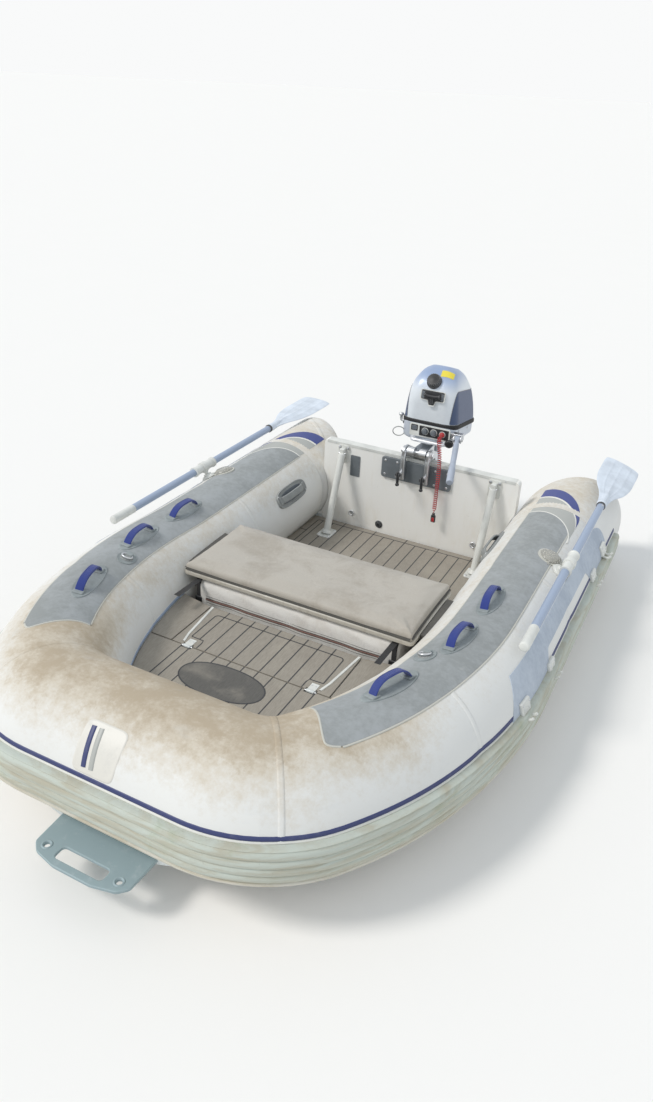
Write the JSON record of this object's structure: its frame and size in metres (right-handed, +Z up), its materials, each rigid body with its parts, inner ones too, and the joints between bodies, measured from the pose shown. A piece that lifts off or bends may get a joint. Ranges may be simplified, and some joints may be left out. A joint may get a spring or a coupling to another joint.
{
  "type": "rigid inflatable dinghy with outboard motor",
  "caption": "Small rigid-hull inflatable dinghy afloat: U-shaped tubes, bow locker, bench seat, oars on rowlocks and a tilting outboard motor.",
  "frame": {"origin": "on the centreline at the waterline, amidships", "axes": "+X to port, +Y aft, +Z up"},
  "size_m": [1.758, 2.774, 1.143],
  "materials": {
    "tube_skin": "satin",
    "patch_grey": "matte",
    "strake_rubber": "satin",
    "hull_paint": "satin",
    "transom_paint": "satin",
    "deck_foam": "matte",
    "moulded_grey": "satin",
    "white_plastic": "satin",
    "blue_strap": "satin",
    "seat_fabric": "matte",
    "bench_board": "satin",
    "alloy": "satin",
    "alloy_pale": "satin",
    "motor_silver": "gloss",
    "motor_black": "satin",
    "clear_cap": "gloss",
    "lanyard_red": "satin"
  },
  "bodies": {
    "hull": {"air_valves": "clear_cap", "bow_locker": "hull_paint", "bow_plate": "alloy_pale", "carry_handles": "moulded_grey", "clamp_bracket": "alloy", "clamp_screws": "motor_black", "deck_mat": "deck_foam", "foredeck_mat": "deck_foam", "grab_handles_port": "blue_strap", "grab_handles_starboard": "blue_strap", "hull_shell": "hull_paint", "lid_pins": "alloy", "motor_pads": "moulded_grey", "oar_rests": "white_plastic", "rowlock_bases": "white_plastic", "rub_strake": "strake_rubber", "seat_bag": "seat_fabric", "seat_bench": "bench_board", "seat_cushion": "seat_fabric", "seat_holders": "moulded_grey", "stern_eyes": "alloy", "top_patch_port": "patch_grey", "top_patch_starboard": "patch_grey", "tow_rings": "moulded_grey", "transom": "transom_paint", "transom_braces": "white_plastic", "tube_bow": "tube_skin", "tube_end_port": "tube_skin", "tube_end_starboard": "tube_skin", "tube_side_port": "tube_skin", "tube_side_starboard": "tube_skin"},
    "locker_lid": {"locker_lid": "hull_paint", "lid_mat": "deck_foam"},
    "motor_swivel": {"swivel_bracket": "alloy"},
    "motor": {"drive_leg": "motor_silver", "gearcase": "motor_silver", "lower_pan": "motor_silver", "control_panel": "motor_black", "cowl_seal": "motor_black", "cowl_cover": "motor_silver", "engine_block": "alloy", "fuel_cap": "motor_black", "starter_grip": "motor_black", "shift_lever": "alloy", "tiller_bracket": "alloy", "stop_lanyard": "lanyard_red", "lanyard_clip": "motor_black"},
    "tiller": {"tiller_arm": "alloy", "tiller_grip": "moulded_grey"},
    "propeller": {"propeller": "motor_silver"},
    "oar_port": {"oar_port_shaft": "alloy", "oar_port_grip": "white_plastic", "oar_port_blade": "white_plastic"},
    "oar_starboard": {"oar_starboard_shaft": "alloy", "oar_starboard_grip": "white_plastic", "oar_starboard_blade": "white_plastic"}
  },
  "joints": [
    {"name": "lid_hinge", "type": "hinge", "parent": "hull", "child": "locker_lid", "pos_m": [0, -0.655, 0.226], "axis": [1, 0, 0], "range_deg": [0, 95]},
    {"name": "motor_tilt", "type": "hinge", "parent": "hull", "child": "motor_swivel", "pos_m": [0, 0.735, 0.478], "axis": [1, 0, 0], "range_deg": [0, 70], "deforming": ["stop_lanyard", "lanyard_clip"]},
    {"name": "motor_steer", "type": "hinge", "parent": "motor_swivel", "child": "motor", "pos_m": [0, 0.87, 0.4], "axis": [0, 0, 1], "range_deg": [-40, 40]},
    {"name": "tiller_fold", "type": "hinge", "parent": "motor", "child": "tiller", "pos_m": [0.15, 0.8, 0.551], "axis": [-0.9649, -0.2625, 0], "range_deg": [0, 110]},
    {"name": "propeller_spin", "type": "hinge", "parent": "motor", "child": "propeller", "pos_m": [0, 1, -0.2], "axis": [0, 1, 0], "continuous": true},
    {"name": "oar_port_swing", "type": "hinge", "parent": "hull", "child": "oar_port", "pos_m": [0.79, 0.25, 0.402], "axis": [0.5556, 0, 0.8315], "range_deg": [-110, 0]},
    {"name": "oar_starboard_swing", "type": "hinge", "parent": "hull", "child": "oar_starboard", "pos_m": [-0.79, 0.25, 0.402], "axis": [-0.5556, 0, 0.8315], "range_deg": [0, 110]}
  ]
}
